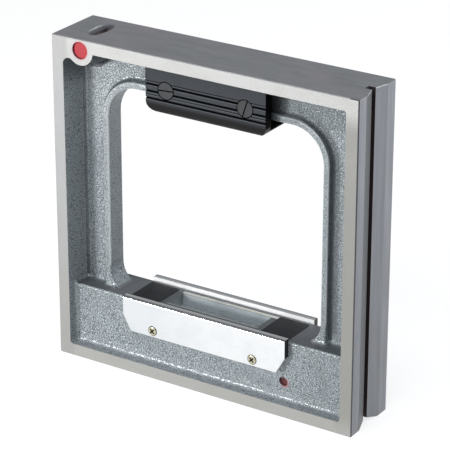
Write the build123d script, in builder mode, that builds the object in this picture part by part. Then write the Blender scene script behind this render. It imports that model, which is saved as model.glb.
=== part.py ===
from build123d import *
import os
from math import asin, cos, degrees, radians, sin, sqrt, tan

os.makedirs("parts", exist_ok=True)

# Square frame level. X runs along the base, Y from front to back, Z up.
# The origin is the centre of the ground base.

# Whole frame
side = 200.0
depth = 40.0
edge_break = 0.5
overrun = 5.0

# Rim and web of the casting
rim_thick = 7.6
rim_draft = 7.5
web_thick = 6.0
pocket_corner_radius = 1.6
pocket_corner_share = 0.65

# Hand window and the rib round it
window_inset = 28.7
window_drop = 28.2
window_radius = 20.0
window_foot_radius = 14.0
window_foot_sink = 2.0
window_edge_angles = [0, 30, 60, 90]
rib_depth = 14.0
rib_crest = 3.8
rib_crest_round = 1.2
rib_root_radius = 2.7
rib_foot_radius = 3.0

# Vial beam at the foot of the frame
beam_top = 45.0
beam_depth = 28.0
beam_edge_round = 1.2
beam_root_radius = 2.0

# V-grooves in the base and in the right side
groove_width = 22.4
groove_slope = 15.0
slot_width = 4.0
slot_bottom = 5.7

# Boss, bore and reading cut of the cross vial
boss_inset = 19.6
boss_drop = 6.6
boss_radius = 8.8
boss_corner_radius = 4.0
bore_radius = 5.2
dish_length_radius = 32.0
dish_cross_radius = 6.5
dish_depth = 2.4
dish_shift = 1.4

# Recess and pocket in the vial beam
recess_length = 108.4
recess_width = 22.2
recess_depth = 5.0
recess_corner = 0.9
vial_pocket_ledge = 0.5
vial_pocket_width = 17.0
vial_pocket_floor = 21.5
vial_pocket_corner = 3.0
well_length = 4.7
well_width = 10.0
well_floor = 15.5

# Clearances and fits
loose_fit = 0.1
running_fit = 0.05

# Side plates
plate_lap = 1.1
plate_top = 47.2
plate_bottom = 25.8
plate_chamfer_foot = 5.6
plate_chamfer_rise = 10.0
plate_thick = 4.6
plate_edge_round = 1.0

# Side plate screws
cover_screw_x = 34.0
cover_screw_z = 30.2
cover_screw_head_radius = 3.0
cover_screw_head_height = 1.5
cover_screw_head_sink = 0.9
cover_screw_head_round = 0.8
cover_screw_shank_radius = 1.5
cover_screw_reach = 4.0
cross_length = 3.6
cross_width = 1.0
cross_depth = 1.0

# Black end blocks and reading hood
block_inner = 34.7
block_rise = 0.5
block_edge_round = 0.3
block_cavity_depth = 3.4
block_wall = 2.7
hood_opening_length = 61.0
hood_opening_width = 15.5
hood_foot_length = 58.0
hood_foot_width = 11.2
hood_foot_z = 39.5
hood_skirt_width = 16.4
hood_skirt_length = 64.0
hood_skirt_z = 37.9
glass_length = 62.0
glass_width = 14.8
glass_thick = 1.5

# Vial carrier
carrier_end_gap = 1.7
carrier_width = 16.4
carrier_bottom = 22.6
carrier_top = 35.5
carrier_lug_top = 33.0
carrier_lug_length = 12.5
tail_thick = 2.4
tail_width = 5.0
tail_bottom = 16.5

# Main vial
vial_axis_z = 31.0
vial_radius = 6.4
vial_wall = 1.2
vial_end_gap = 1.5
vial_end_round = 2.5
seat_length = 5.5
seat_inset = 1.0
seat_thick = 0.6
bubble_half = 12.5
bubble_travel = 11.0
bubble_gap = 0.25
bubble_thick = 1.75

# Screws of the carrier
pivot_inset = 6.0
adjust_inset = 7.0
carrier_screw_radius = 2.0
carrier_screw_head_radius = 3.6
carrier_screw_head_height = 2.6
carrier_screw_end = 11.5
carrier_hole_end = 11.0
screw_slot_width = 0.9
screw_slot_depth = 1.1
washer_outer = 4.2
washer_dome_radius = 20.0
spring_mean_radius = 2.95
spring_wire_radius = 0.35
spring_top = 27.3
spring_turns = 5.0
spring_well_radius = 3.6
spring_seat_step = 0.1

# Lateral screw, its spring and its lacquer seal
lateral_z = 19.5
lateral_hole_radius = 2.6
lateral_head_radius = 2.45
lateral_head_sink = 1.6
lateral_head_height = 2.8
lateral_body_radius = 1.75
lateral_body_end = 5.6
lateral_tip_radius = 1.2
lateral_slot_width = 0.7
lateral_slot_depth = 0.7
lateral_spring_mean_radius = 1.4
lateral_spring_wire_radius = 0.25
lateral_spring_turns = 6.0
lateral_spring_bore_radius = 1.9
lateral_spring_bore_end = 10.5
lacquer_thick = 0.45

# Cross vial
cross_vial_radius = 3.7
cross_vial_wall = 0.8
cross_vial_half = 11.0
cross_vial_end_round = 1.4
cross_sleeve_half = 15.2
cross_sleeve_wall = 1.2
cross_sleeve_window_foot = 1.0
cross_sleeve_window_half = 10.0
cross_sleeve_window_width = 6.4
cross_bubble_half = 3.6
cross_bubble_travel = 3.2
cross_bubble_thick = 1.2
plug_sink = 1.2
plug_thick = 3.4
plug_edge_round = 0.25

# Grip
grip_width = 79.0
grip_depth = 29.2
grip_rise = 18.6
grip_height = 27.8
grip_wall = 5.6
grip_floor = 3.4
grip_lower_round = 7.0
grip_end_round = 8.4
grip_edge_round = 0.3
grip_step_drop = 8.1
grip_groove_drops = [9.8, 13.9, 18.1]
grip_groove_width = 1.5
grip_groove_depth = 1.0
grip_fine_width = 0.5
grip_fine_depth = 0.3
grip_fine_drop = 15.9
grip_screw_x = 26.0
grip_screw_drop = 12.0
grip_head_radius = 5.15
grip_head_height = 3.0
grip_head_gap = 0.3
grip_shank_radius = 2.5
grip_sleeve_radius = 3.4
grip_slot_width = 0.8
grip_slot_depth = 1.0
grip_slot_turn_left = 4.0
grip_slot_turn_right = 72.0
grip_pad_length = 15.0
grip_pad_step_drop = 10.2
grip_pad_top_drop = 4.6
grip_pad_foot_drop = 18.0
grip_inner_round = 3.0
grip_shank_end = 11.0
grip_bore_end = 11.3
grip_sleeve_end = 7.3
grip_joint_gap = 0.1

# Places that follow from these sizes
half_depth = depth / 2
half_web = web_thick / 2
half_rib = rib_depth / 2
half_beam = beam_depth / 2
half_window = side / 2 - window_inset
window_top = side - window_drop
half_grip = grip_depth / 2
pocket_half = side / 2 - rim_thick
pocket_top = side - rim_thick
pocket_drop = half_depth - half_web
recess_floor = beam_top - recess_depth
boss_x = boss_inset - side / 2
boss_z = side - boss_drop
plate_length = recess_length + 2 * plate_lap
vial_pocket_length = recess_length - 2 * vial_pocket_ledge
well_start = vial_pocket_length / 2 - well_length
carrier_half = vial_pocket_length / 2 - carrier_end_gap
carrier_bed_half = carrier_half - carrier_lug_length
vial_half = carrier_bed_half - vial_end_gap
seat_outer = vial_half - seat_inset
seat_inner = seat_outer - seat_length
pivot_x = pivot_inset - carrier_half
adjust_x = carrier_half - adjust_inset
lateral_x = carrier_half
grip_top = window_top + grip_rise
grip_bottom = grip_top - grip_height
grip_screw_z = grip_top - grip_screw_drop
grip_pad_step = grip_top - grip_pad_step_drop
grip_pad_top = grip_top - grip_pad_top_drop
grip_pad_foot = grip_top - grip_pad_foot_drop

# Planes that look out of the front and out of the rear of the frame
front = Plane(origin=(0, 0, 0), x_dir=(1, 0, 0), z_dir=(0, -1, 0))
rear = Plane(origin=(0, 0, 0), x_dir=(-1, 0, 0), z_dir=(0, 1, 0))


# Closed outline through corner points, each with its own radius
def rounded_loop(corners):
    count = len(corners)
    legs = []
    for i in range(count):
        px, py, _ = corners[i - 1]
        cx, cy, radius = corners[i]
        nx, ny, _ = corners[(i + 1) % count]
        into = (Vector(px, py) - Vector(cx, cy)).normalized()
        away = (Vector(nx, ny) - Vector(cx, cy)).normalized()
        half_angle = radians(into.get_angle(away)) / 2
        reach = radius / tan(half_angle)
        middle = (into + away).normalized() * (radius / sin(half_angle) - radius)
        corner = Vector(cx, cy)
        legs.append((corner + into * reach, corner + middle, corner + away * reach, radius))
    with BuildSketch(Plane.XY) as outline:
        with BuildLine():
            for i in range(count):
                start, middle, end, radius = legs[i]
                if radius > 0:
                    ThreePointArc(start, middle, end)
                Line(end, legs[(i + 1) % count][0])
        make_face()
    return outline.sketch


# Outline of one upper pocket, moved in by a draft step, with the bulge of the boss
def pocket_outline(step):
    half = pocket_half - step
    top = pocket_top - step
    radius = boss_radius + step
    corner = boss_corner_radius
    far = pocket_corner_radius + pocket_corner_share * step
    cx = corner - half
    cz = boss_z - sqrt((radius + corner) ** 2 - (boss_x - cx) ** 2)
    toward = (Vector(boss_x, boss_z) - Vector(cx, cz)).normalized()
    touch = Vector(cx, cz) + toward * corner
    crown = (toward + Vector(-1, 0)).normalized() * corner
    boss_right = boss_x + sqrt(radius**2 - (boss_z - top) ** 2)
    diagonal = far * (1 - sqrt(1 / 2))
    with BuildSketch(Plane.XY) as outline:
        with BuildLine():
            Line((-half, beam_top + far), (-half, cz))
            ThreePointArc((-half, cz), Vector(cx, cz) + crown, touch)
            ThreePointArc(touch, (boss_x, boss_z - radius), (boss_right, top))
            Line((boss_right, top), (half - far, top))
            ThreePointArc((half - far, top), (half - diagonal, top - diagonal), (half, top - far))
            Line((half, top - far), (half, beam_top + far))
            ThreePointArc(
                (half, beam_top + far),
                (half - diagonal, beam_top + diagonal),
                (half - far, beam_top),
            )
            Line((half - far, beam_top), (far - half, beam_top))
            ThreePointArc(
                (far - half, beam_top),
                (diagonal - half, beam_top + diagonal),
                (-half, beam_top + far),
            )
        make_face()
    return outline.sketch


# Outline of the lower pocket in front of the beam
def lower_outline(step):
    half = pocket_half - step
    foot = rim_thick + step
    top = beam_top + overrun
    radius = pocket_corner_radius + pocket_corner_share * step
    return rounded_loop([(-half, foot, radius), (half, foot, radius), (half, top, 0), (-half, top, 0)])


# Window outline, opened by the step of its edge rounding at an angle
def window_outline(angle):
    step = rib_crest_round * (1 - cos(radians(angle)))
    half = half_window + step
    foot = window_foot_radius + step
    crown = window_radius + step
    foot_x = half_window - window_foot_radius
    foot_z = beam_top - window_foot_sink + window_foot_radius
    crown_x = half_window - window_radius
    crown_z = window_top - window_radius
    toe_angle = degrees(asin((foot_z - beam_top) / foot))
    toe = foot_x + foot * cos(radians(toe_angle))
    with BuildSketch(Plane.XY) as outline:
        with BuildLine():
            Line((-toe, beam_top), (toe, beam_top))
            CenterArc((foot_x, foot_z), foot, -toe_angle, toe_angle)
            Line((half, foot_z), (half, crown_z))
            CenterArc((crown_x, crown_z), crown, 0, 90)
            Line((crown_x, window_top + step), (-crown_x, window_top + step))
            CenterArc((-crown_x, crown_z), crown, 90, 90)
            Line((-half, crown_z), (-half, foot_z))
            CenterArc((-foot_x, foot_z), foot, 180, toe_angle)
        make_face()
    return outline.sketch


# Outer edge of the rib, which stands on the beam
rib_half = half_window + rib_crest
rib_top = window_top + rib_crest
rib_sketch = rounded_loop(
    [
        (-rib_half, beam_top - overrun, 0),
        (rib_half, beam_top - overrun, 0),
        (rib_half, rib_top, window_radius + rib_crest),
        (-rib_half, rib_top, window_radius + rib_crest),
    ]
)

# Draft steps of the pockets at their mouth, at the beam and at the web
mouth_step = -overrun * tan(radians(rim_draft))
beam_step = (half_depth - half_beam) * tan(radians(rim_draft))
web_step = pocket_drop * tan(radians(rim_draft))
upper_mouth = pocket_outline(mouth_step)
upper_root = pocket_outline(web_step)
lower_mouth = lower_outline(mouth_step)
lower_root = lower_outline(beam_step)

# Upper pocket with drafted walls, the rib standing in it and rounded roots
with BuildPart() as upper_pocket:
    with BuildSketch(front.offset(half_web)):
        add(upper_root)
    with BuildSketch(front.offset(half_depth + overrun)):
        add(upper_mouth)
    loft(ruled=True)
    with BuildSketch(front):
        add(rib_sketch)
    extrude(amount=half_rib, mode=Mode.SUBTRACT)
    crest_face = upper_pocket.faces().filter_by(Plane.XZ).sort_by(Axis.Y)[-2]
    fillet(crest_face.edges().sort_by(Axis.Z)[1:], rib_crest_round)
    foot_edges = upper_pocket.edges().filter_by(
        lambda e: abs(abs(e.center().X) - rib_half) < loose_fit and abs(e.center().Z - beam_top) < loose_fit
    )
    fillet(foot_edges, rib_foot_radius)
    web_face = upper_pocket.faces().filter_by(Plane.XZ).sort_by(Axis.Y)[-1]
    fillet(web_face.edges(), rib_root_radius)

# Lower pocket in front of the beam
with BuildPart() as lower_pocket:
    with BuildSketch(front.offset(half_beam)):
        add(lower_root)
    with BuildSketch(front.offset(half_depth + overrun)):
        add(lower_mouth)
    loft(ruled=True)
    beam_face = lower_pocket.faces().filter_by(Plane.XZ).sort_by(Axis.Y)[-1]
    root_edges = beam_face.edges().sort_by(Axis.Z)[:-1]
    fillet(root_edges, beam_root_radius)

# Groove with the relief slot at its root, cut along the base and up the right side
groove_rise = groove_width / 2 * tan(radians(groove_slope))
slot_rise = groove_rise - slot_width / 2 * tan(radians(groove_slope))
groove_flare = overrun / tan(radians(groove_slope))
with BuildPart() as groove_cutter:
    with BuildSketch(Plane.YZ.offset(-side / 2 - overrun)):
        with BuildLine():
            Polyline(
                (-groove_width / 2 - groove_flare, -overrun),
                (-slot_width / 2, slot_rise),
                (-slot_width / 2, slot_bottom),
                (slot_width / 2, slot_bottom),
                (slot_width / 2, slot_rise),
                (groove_width / 2 + groove_flare, -overrun),
                (-groove_width / 2 - groove_flare, -overrun),
            )
        make_face()
    extrude(amount=side + 2 * overrun)
side_groove_cutter = Pos(side / 2, 0, side / 2) * Rot(0, -90, 0) * groove_cutter.part

# Cutter that rounds a top edge of the beam between the rim roots
beam_edge_half = pocket_half - beam_step - beam_root_radius
edge_bulge = beam_edge_round * (1 - sqrt(1 / 2))
with BuildPart() as beam_edge_cutter:
    with BuildSketch(Plane.YZ.offset(-beam_edge_half)):
        with BuildLine():
            ThreePointArc(
                (-half_beam, beam_top - beam_edge_round),
                (edge_bulge - half_beam, beam_top - edge_bulge),
                (beam_edge_round - half_beam, beam_top),
            )
            Polyline(
                (beam_edge_round - half_beam, beam_top),
                (beam_edge_round - half_beam, beam_top + beam_edge_round),
                (-half_beam - beam_edge_round, beam_top + beam_edge_round),
                (-half_beam - beam_edge_round, beam_top - beam_edge_round),
                (-half_beam, beam_top - beam_edge_round),
            )
        make_face()
    extrude(amount=2 * beam_edge_half)

# Cutter of the hand window, opened in steps at the front and rear edges of the rib
edge_start = half_rib - rib_crest_round
with BuildPart() as window_cutter:
    with BuildSketch(front):
        add(window_outline(0))
    extrude(amount=edge_start, both=True)
    for face_plane in (front, rear):
        for i in range(len(window_edge_angles) - 1):
            for angle in window_edge_angles[i : i + 2]:
                with BuildSketch(face_plane.offset(edge_start + rib_crest_round * sin(radians(angle)))):
                    add(window_outline(angle))
            loft(ruled=True)
        with BuildSketch(face_plane.offset(half_rib)):
            add(window_outline(window_edge_angles[-1]))
        extrude(amount=half_beam - half_rib)

# Frame casting
with BuildPart() as frame_casting:
    with BuildSketch(front):
        with Locations((0, side / 2)):
            Rectangle(side, side)
    extrude(amount=half_depth, both=True)
    chamfer(frame_casting.edges(), edge_break)
    add(upper_pocket.part, mode=Mode.SUBTRACT)
    add(mirror(upper_pocket.part, about=Plane.XZ, mode=Mode.PRIVATE), mode=Mode.SUBTRACT)
    add(lower_pocket.part, mode=Mode.SUBTRACT)
    add(mirror(lower_pocket.part, about=Plane.XZ, mode=Mode.PRIVATE), mode=Mode.SUBTRACT)
    add(window_cutter.part, mode=Mode.SUBTRACT)
    add(groove_cutter.part, mode=Mode.SUBTRACT)
    add(side_groove_cutter, mode=Mode.SUBTRACT)

    # Rounded top edges of the beam
    add(beam_edge_cutter.part, mode=Mode.SUBTRACT)
    add(mirror(beam_edge_cutter.part, about=Plane.XZ, mode=Mode.PRIVATE), mode=Mode.SUBTRACT)

    # Bore of the cross vial and the dished cut that opens it to the top face
    with BuildSketch(front):
        with Locations((boss_x, boss_z)):
            Circle(bore_radius)
    extrude(amount=half_depth + overrun, both=True, mode=Mode.SUBTRACT)
    with Locations(Location((boss_x, dish_shift, side - dish_depth + dish_length_radius), (0, 90, 0))):
        Torus(dish_length_radius - dish_cross_radius, dish_cross_radius, mode=Mode.SUBTRACT)

    # Recess, pocket and tail well for the vial carrier
    with BuildSketch(Plane.XY.offset(recess_floor)):
        RectangleRounded(recess_length, recess_width, recess_corner)
    extrude(amount=recess_depth + overrun, mode=Mode.SUBTRACT)
    with BuildSketch(Plane.XY.offset(vial_pocket_floor)):
        RectangleRounded(vial_pocket_length, vial_pocket_width, vial_pocket_corner)
    extrude(amount=recess_floor - vial_pocket_floor + overrun, mode=Mode.SUBTRACT)
    with BuildSketch(Plane.XY.offset(well_floor)):
        with Locations(((well_start + vial_pocket_length / 2) / 2, 0)):
            Rectangle(vial_pocket_length / 2 - well_start, well_width)
    extrude(amount=vial_pocket_floor - well_floor, mode=Mode.SUBTRACT)

    # Tapped holes for the carrier screws, the side plates and the grip
    with BuildSketch(Plane.XY.offset(carrier_hole_end)):
        with Locations((pivot_x, 0), (adjust_x, 0)):
            Circle(carrier_screw_radius + running_fit)
    extrude(amount=vial_pocket_floor - carrier_hole_end, mode=Mode.SUBTRACT)
    for face_plane in (front, rear):
        with BuildSketch(face_plane.offset(half_beam)):
            with Locations((cover_screw_x, cover_screw_z), (-cover_screw_x, cover_screw_z)):
                Circle(cover_screw_shank_radius + running_fit)
        extrude(amount=-cover_screw_reach - loose_fit, mode=Mode.SUBTRACT)
    with BuildSketch(front):
        with Locations((grip_screw_x, grip_screw_z), (-grip_screw_x, grip_screw_z)):
            Circle(grip_shank_radius + 2 * loose_fit)
    extrude(amount=half_rib, both=True, mode=Mode.SUBTRACT)

    # Stepped hole of the lateral screw and the blind bore of its spring
    with BuildSketch(front.offset(half_beam - lateral_head_sink - lateral_head_height)):
        with Locations((lateral_x, lateral_z)):
            Circle(lateral_hole_radius)
    extrude(amount=lateral_head_sink + lateral_head_height + overrun, mode=Mode.SUBTRACT)
    with BuildSketch(front.offset(half_beam - lateral_head_sink - lateral_head_height)):
        with Locations((lateral_x, lateral_z)):
            Circle(lateral_body_radius + running_fit)
    extrude(amount=-half_beam + lateral_head_sink + lateral_head_height, mode=Mode.SUBTRACT)
    with BuildSketch(front):
        with Locations((lateral_x, lateral_z)):
            Circle(lateral_spring_bore_radius)
    extrude(amount=-lateral_spring_bore_end, mode=Mode.SUBTRACT)
frame_casting.part.label = "frame_casting"
export_step(frame_casting.part, "parts/frame_casting.step")

# Polished side plates with their lower corners cut off
plate_half = plate_length / 2
plate_outline = rounded_loop(
    [
        (-plate_half, plate_top, 0),
        (-plate_half, plate_bottom + plate_chamfer_rise, 0),
        (-plate_half + plate_chamfer_foot, plate_bottom, 0),
        (plate_half - plate_chamfer_foot, plate_bottom, 0),
        (plate_half, plate_bottom + plate_chamfer_rise, 0),
        (plate_half, plate_top, 0),
    ]
)
with BuildPart() as cover_plate_front:
    with BuildSketch(front.offset(half_beam)):
        add(plate_outline)
    extrude(amount=plate_thick)
    face_edges = cover_plate_front.faces().sort_by(Axis.Y)[0].edges()
    fillet(face_edges, plate_edge_round)
    with BuildSketch(front.offset(half_beam)):
        with Locations((cover_screw_x, cover_screw_z), (-cover_screw_x, cover_screw_z)):
            Circle(cover_screw_shank_radius + loose_fit)
    extrude(amount=plate_thick, mode=Mode.SUBTRACT)
    with BuildSketch(front.offset(half_beam + plate_thick - cover_screw_head_sink)):
        with Locations((cover_screw_x, cover_screw_z), (-cover_screw_x, cover_screw_z)):
            Circle(cover_screw_head_radius + loose_fit)
    extrude(amount=cover_screw_head_sink, mode=Mode.SUBTRACT)
cover_plate_front.part.label = "cover_plate_front"
export_step(cover_plate_front.part, "parts/cover_plate_front.step")

with BuildPart() as cover_plate_rear:
    add(cover_plate_front.part.rotate(Axis.Z, 180))
cover_plate_rear.part.label = "cover_plate_rear"
export_step(cover_plate_rear.part, "parts/cover_plate_rear.step")

# Cross-recess screws of the side plates
head_seat = half_beam + plate_thick - cover_screw_head_sink
with BuildPart() as cover_screws_front:
    for x in (-cover_screw_x, cover_screw_x):
        with BuildSketch(front.offset(head_seat)):
            with Locations((x, cover_screw_z)):
                Circle(cover_screw_head_radius)
        extrude(amount=cover_screw_head_height)
    head_faces = cover_screws_front.faces().filter_by(Axis.Y).group_by(Axis.Y)[0]
    fillet(head_faces.edges(), cover_screw_head_round)
    for x in (-cover_screw_x, cover_screw_x):
        with BuildSketch(front.offset(half_beam - cover_screw_reach)):
            with Locations((x, cover_screw_z)):
                Circle(cover_screw_shank_radius)
        extrude(amount=head_seat - half_beam + cover_screw_reach)
        with BuildSketch(front.offset(head_seat + cover_screw_head_height - cross_depth)):
            with Locations((x, cover_screw_z)):
                Rectangle(cross_length, cross_width, rotation=45)
                Rectangle(cross_length, cross_width, rotation=-45)
        extrude(amount=cross_depth, mode=Mode.SUBTRACT)
cover_screws_front.part.label = "cover_screws_front"
export_step(cover_screws_front.part, "parts/cover_screws_front.step")

with BuildPart() as cover_screws_rear:
    add(cover_screws_front.part.rotate(Axis.Z, 180))
cover_screws_rear.part.label = "cover_screws_rear"
export_step(cover_screws_rear.part, "parts/cover_screws_rear.step")

# Black end blocks, hollow underneath
block_outer = recess_length / 2 - loose_fit
block_length = block_outer - block_inner
block_middle = (block_outer + block_inner) / 2
block_width = recess_width - 2 * loose_fit
with BuildPart() as end_block_right:
    with BuildSketch(Plane.XY.offset(recess_floor)):
        with Locations((block_middle, 0)):
            RectangleRounded(block_length, block_width, recess_corner)
    extrude(amount=recess_depth + block_rise)
    fillet(end_block_right.faces().sort_by(Axis.Z)[-1].edges(), block_edge_round)
    with BuildSketch(Plane.XY.offset(recess_floor)):
        with Locations((block_middle, 0)):
            Rectangle(block_length - 2 * block_wall, block_width - 2 * block_wall)
    extrude(amount=block_cavity_depth, mode=Mode.SUBTRACT)
end_block_right.part.label = "end_block_right"
export_step(end_block_right.part, "parts/end_block_right.step")

with BuildPart() as end_block_left:
    add(end_block_right.part.rotate(Axis.Z, 180))
end_block_left.part.label = "end_block_left"
export_step(end_block_left.part, "parts/end_block_left.step")

# Reading hood with its funnel and the seat of the glass below it
with BuildPart() as reading_hood:
    with BuildSketch(Plane.XY.offset(recess_floor)):
        Rectangle(2 * (block_inner - loose_fit), block_width)
    extrude(amount=recess_depth)
    with BuildSketch(Plane.XY.offset(hood_skirt_z)):
        Rectangle(hood_skirt_length, hood_skirt_width)
    extrude(amount=recess_floor - hood_skirt_z)
    with BuildSketch(Plane.XY.offset(hood_foot_z)):
        Rectangle(hood_foot_length, hood_foot_width)
    with BuildSketch(Plane.XY.offset(beam_top)):
        Rectangle(hood_opening_length, hood_opening_width)
    loft(ruled=True, mode=Mode.SUBTRACT)
    with BuildSketch(Plane.XY.offset(hood_skirt_z)):
        Rectangle(glass_length + 2 * loose_fit, glass_width + 2 * loose_fit)
    extrude(amount=hood_foot_z - hood_skirt_z, mode=Mode.SUBTRACT)
reading_hood.part.label = "reading_hood"
export_step(reading_hood.part, "parts/reading_hood.step")

with BuildPart() as window_glass:
    with BuildSketch(Plane.XY.offset(hood_foot_z - glass_thick)):
        Rectangle(glass_length, glass_width)
    extrude(amount=glass_thick)
window_glass.part.label = "window_glass"
export_step(window_glass.part, "parts/window_glass.step")

# Vial carrier: an open cradle with a lug at each end and a tail for the lateral screw
bed_radius = vial_radius + seat_thick
spring_well_top = spring_top + spring_seat_step
across = Plane(origin=(0, 0, vial_axis_z), x_dir=(0, 1, 0), z_dir=(1, 0, 0))
with BuildPart() as vial_carrier:
    with BuildSketch(Plane.XY.offset(carrier_bottom)):
        Rectangle(2 * carrier_half, carrier_width)
    extrude(amount=carrier_lug_top - carrier_bottom)
    with BuildSketch(Plane.XY.offset(carrier_bottom)):
        Rectangle(2 * carrier_bed_half, carrier_width)
    extrude(amount=carrier_top - carrier_bottom)
    with BuildSketch(across.offset(-carrier_bed_half)):
        Circle(bed_radius)
        with Locations((0, bed_radius)):
            Rectangle(2 * bed_radius, 2 * bed_radius)
    extrude(amount=2 * carrier_bed_half, mode=Mode.SUBTRACT)
    with BuildSketch(Plane.XY.offset(tail_bottom)):
        with Locations((lateral_x, 0)):
            Rectangle(tail_thick, tail_width)
    extrude(amount=spring_well_top - tail_bottom)
    with BuildSketch(Plane.XY.offset(carrier_bottom)):
        with Locations((pivot_x, 0), (adjust_x, 0)):
            Circle(carrier_screw_radius + 2 * loose_fit)
    extrude(amount=carrier_lug_top - carrier_bottom, mode=Mode.SUBTRACT)
    with BuildSketch(Plane.XY.offset(carrier_bottom)):
        with Locations((adjust_x, 0)):
            Circle(spring_well_radius)
    extrude(amount=spring_well_top - carrier_bottom, mode=Mode.SUBTRACT)
vial_carrier.part.label = "vial_carrier"
export_step(vial_carrier.part, "parts/vial_carrier.step")

# Plaster beds between the glass and the cradle
with BuildPart() as vial_seats:
    for start in (seat_inner, -seat_outer):
        with BuildSketch(across.offset(start)):
            Circle(bed_radius - running_fit)
            Circle(vial_radius + running_fit, mode=Mode.SUBTRACT)
            with Locations((0, carrier_top - vial_axis_z + bed_radius)):
                Rectangle(2 * bed_radius, 2 * bed_radius, mode=Mode.SUBTRACT)
        extrude(amount=seat_outer - seat_inner)
vial_seats.part.label = "vial_seats"
export_step(vial_seats.part, "parts/vial_seats.step")

# Main vial: sealed glass tube
vial_bore = vial_radius - vial_wall
with BuildPart() as main_vial_core:
    with BuildSketch(across.offset(vial_wall - vial_half)):
        Circle(vial_bore)
    extrude(amount=2 * (vial_half - vial_wall))
    fillet(main_vial_core.edges().filter_by(GeomType.CIRCLE), vial_end_round - vial_wall)
with BuildPart() as main_vial:
    with BuildSketch(across.offset(-vial_half)):
        Circle(vial_radius)
    extrude(amount=2 * vial_half)
    fillet(main_vial.edges().filter_by(GeomType.CIRCLE), vial_end_round)
    add(main_vial_core.part, mode=Mode.SUBTRACT)
main_vial.part.label = "main_vial"
export_step(main_vial.part, "parts/main_vial.step")

# Spirit, with the path of the bubble left clear along its top
path_half = bubble_half + bubble_travel + bubble_gap
path_foot = vial_bore - 2 * bubble_gap - bubble_thick
with BuildPart() as main_spirit:
    with BuildSketch(across.offset(vial_wall + running_fit - vial_half)):
        Circle(vial_bore - running_fit)
    extrude(amount=2 * (vial_half - vial_wall - running_fit))
    fillet(main_spirit.edges().filter_by(GeomType.CIRCLE), vial_end_round - vial_wall)
    with BuildSketch(across.offset(-path_half)):
        with Locations((0, path_foot + vial_bore / 2)):
            Rectangle(2 * vial_bore, vial_bore)
    extrude(amount=2 * path_half, mode=Mode.SUBTRACT)
main_spirit.part.label = "main_spirit"
export_step(main_spirit.part, "parts/main_spirit.step")

with BuildPart() as main_bubble:
    with BuildSketch(across.offset(-bubble_half)):
        Circle(vial_bore - bubble_gap)
    extrude(amount=2 * bubble_half)
    with BuildSketch(Plane.XY.offset(vial_axis_z + path_foot + bubble_gap)):
        SlotOverall(2 * bubble_half, 2 * sqrt(vial_bore**2 - (vial_bore - bubble_thick) ** 2))
    extrude(amount=vial_bore, mode=Mode.INTERSECT)
main_bubble.part.label = "main_bubble"
export_step(main_bubble.part, "parts/main_bubble.step")


# Turned screw with a slot across its head, standing on a seat
def carrier_screw(x, seat):
    with BuildPart() as screw:
        with BuildSketch(Plane.XY.offset(seat)):
            with Locations((x, 0)):
                Circle(carrier_screw_head_radius)
        extrude(amount=carrier_screw_head_height)
        chamfer(screw.faces().sort_by(Axis.Z)[-1].edges(), edge_break)
        with BuildSketch(Plane.XY.offset(carrier_screw_end)):
            with Locations((x, 0)):
                Circle(carrier_screw_radius)
        extrude(amount=seat - carrier_screw_end)
        with BuildSketch(Plane.XY.offset(seat + carrier_screw_head_height - screw_slot_depth)):
            with Locations((x, 0)):
                Rectangle(2 * carrier_screw_head_radius, screw_slot_width)
        extrude(amount=screw_slot_depth, mode=Mode.SUBTRACT)
    return screw.part


with BuildPart() as pivot_screw:
    add(carrier_screw(pivot_x, carrier_lug_top))
pivot_screw.part.label = "pivot_screw"
export_step(pivot_screw.part, "parts/pivot_screw.step")

with BuildPart() as adjusting_screw:
    add(carrier_screw(adjust_x, carrier_lug_top))
adjusting_screw.part.label = "adjusting_screw"
export_step(adjusting_screw.part, "parts/adjusting_screw.step")

# Domed washer that lets the fixed end of the carrier tilt
with BuildPart() as pivot_washer:
    with BuildSketch(Plane.XY.offset(vial_pocket_floor)):
        with Locations((pivot_x, 0)):
            Circle(washer_outer)
    extrude(amount=carrier_bottom - vial_pocket_floor)
    with Locations((pivot_x, 0, carrier_bottom - washer_dome_radius)):
        Sphere(washer_dome_radius, mode=Mode.INTERSECT)
    with BuildSketch(Plane.XY.offset(vial_pocket_floor)):
        with Locations((pivot_x, 0)):
            Circle(carrier_screw_radius + loose_fit)
    extrude(amount=carrier_bottom - vial_pocket_floor, mode=Mode.SUBTRACT)
pivot_washer.part.label = "pivot_washer"
export_step(pivot_washer.part, "parts/pivot_washer.step")


# Coil spring that stands on a plane at a point, with its wire centre line kept inside
def coil_spring(plane, height, mean_radius, wire_radius, turns):
    rise = height - 2 * wire_radius
    coil = Helix(pitch=rise / turns, height=rise, radius=mean_radius)
    with BuildPart() as spring:
        with BuildSketch(Plane(origin=coil @ 0, z_dir=coil % 0)):
            Circle(wire_radius)
        sweep(path=Wire(coil.edges()), is_frenet=True)
    return plane.offset(wire_radius).location * spring.part


with BuildPart() as adjusting_spring:
    spring_base = Plane.XY.offset(vial_pocket_floor)
    spring_base.origin = Vector(adjust_x, 0, vial_pocket_floor)
    spring_height = spring_top - vial_pocket_floor
    add(coil_spring(spring_base, spring_height, spring_mean_radius, spring_wire_radius, spring_turns))
adjusting_spring.part.label = "adjusting_spring"
export_step(adjusting_spring.part, "parts/adjusting_spring.step")

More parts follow.
